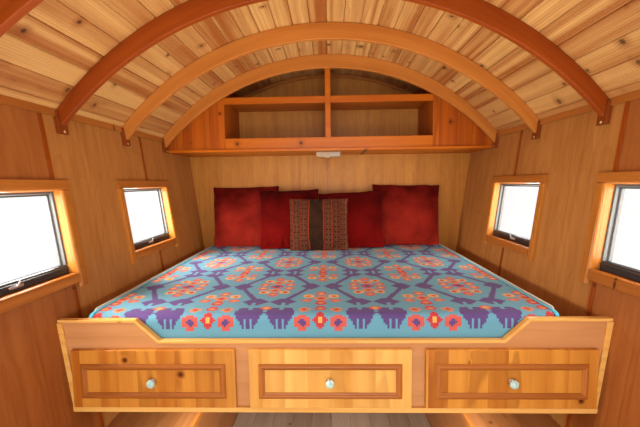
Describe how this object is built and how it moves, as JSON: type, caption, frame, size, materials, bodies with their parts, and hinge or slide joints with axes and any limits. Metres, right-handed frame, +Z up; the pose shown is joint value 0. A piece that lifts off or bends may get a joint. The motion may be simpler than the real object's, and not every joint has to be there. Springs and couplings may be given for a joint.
{
  "type": "vardo wagon bed bay",
  "caption": "End bay of a bow-topped vardo wagon, with outward-leaning ledge walls, windows, ribbed round roof, open overhead cupboard and a built-in bed over drawers.",
  "frame": {"origin": "underside of the floor frame, in the middle of the bay's overall length and width", "axes": "+X to the right across the wagon, +Y along the wagon from the open front end to the end wall behind the bed, +Z up"},
  "size_m": [2.5292, 2.5656, 2.4983],
  "materials": {
    "batten_wood": "varnished",
    "bed_frame_wood": "varnished",
    "bed_wood": "varnished",
    "blanket_cloth": "woven",
    "bracket_wood": "varnished",
    "centre_cushion_cloth": "patterned weave",
    "cupboard_wood": "varnished",
    "cushion_cloth": "plain weave",
    "drawer_box_wood": "varnished",
    "drawer_wood": "varnished",
    "floor_wood": "varnished",
    "frame_wood": "bare sawn",
    "knob_glass": "cut glass",
    "latch_metal": "brushed",
    "ledge_wood": "varnished",
    "light_plastic": "satin white",
    "lower_wall_wood": "varnished",
    "mattress_cloth": "cotton",
    "moulding_wood": "varnished",
    "nosing_wood": "varnished",
    "rib_foot_wood": "varnished",
    "rib_wood": "varnished",
    "roof_canvas": "proofed canvas",
    "roof_wood": "varnished",
    "trim_wood": "varnished",
    "wall_wood": "varnished",
    "window_glass": "clear",
    "window_metal": "satin black",
    "window_wood": "varnished"
  },
  "bodies": {
    "bay": {"bed_bearers": "bed_frame_wood", "bed_capping": "trim_wood", "bed_deck": "bed_frame_wood", "bed_front": "bed_wood", "bed_rail": "trim_wood", "blanket": "blanket_cloth", "ceiling_mouldings": "moulding_wood", "cupboard_corners": "cupboard_wood", "cupboard_divider": "cupboard_wood", "cupboard_floor": "cupboard_wood", "cupboard_light": "light_plastic", "cupboard_rail": "cupboard_wood", "cupboard_shelves": "cupboard_wood", "cushion_centre": "centre_cushion_cloth", "cushion_inner_left": "cushion_cloth", "cushion_inner_right": "cushion_cloth", "cushion_outer_left": "cushion_cloth", "cushion_outer_right": "cushion_cloth", "drawer_guides": "bed_frame_wood", "eave_boards": "bracket_wood", "end_wall": "wall_wood", "floor_boards": "floor_wood", "floor_frame": "frame_wood", "ledge_brackets": "bracket_wood", "ledge_nosings": "nosing_wood", "ledges": "ledge_wood", "lower_walls": "lower_wall_wood", "mattress": "mattress_cloth", "rib_feet": "rib_foot_wood", "roof_boards": "roof_wood", "roof_cover": "roof_canvas", "roof_rib_1": "rib_wood", "roof_rib_2": "rib_wood", "roof_rib_3": "rib_wood", "roof_rib_4": "rib_wood", "roof_rib_5": "rib_wood", "side_wall_left": "wall_wood", "side_wall_right": "wall_wood", "wall_battens": "batten_wood", "window_frame_left_far": "window_wood", "window_frame_left_near": "window_wood", "window_frame_right_far": "window_wood", "window_frame_right_near": "window_wood", "window_latches": "latch_metal", "window_panes": "window_glass", "window_sashes": "window_metal"},
    "drawer_left": {"drawer_box_left": "drawer_box_wood", "drawer_front_left": "drawer_wood", "drawer_knob_left": "knob_glass"},
    "drawer_middle": {"drawer_box_middle": "drawer_box_wood", "drawer_front_middle": "drawer_wood", "drawer_knob_middle": "knob_glass"},
    "drawer_right": {"drawer_box_right": "drawer_box_wood", "drawer_front_right": "drawer_wood", "drawer_knob_right": "knob_glass"}
  },
  "joints": [
    {"name": "drawer_left_slide", "type": "slide", "parent": "bay", "child": "drawer_left", "axis": [0, -1, 0], "range_m": [0, 0.42]},
    {"name": "drawer_middle_slide", "type": "slide", "parent": "bay", "child": "drawer_middle", "axis": [0, -1, 0], "range_m": [0, 0.42]},
    {"name": "drawer_right_slide", "type": "slide", "parent": "bay", "child": "drawer_right", "axis": [0, -1, 0], "range_m": [0, 0.42]}
  ]
}
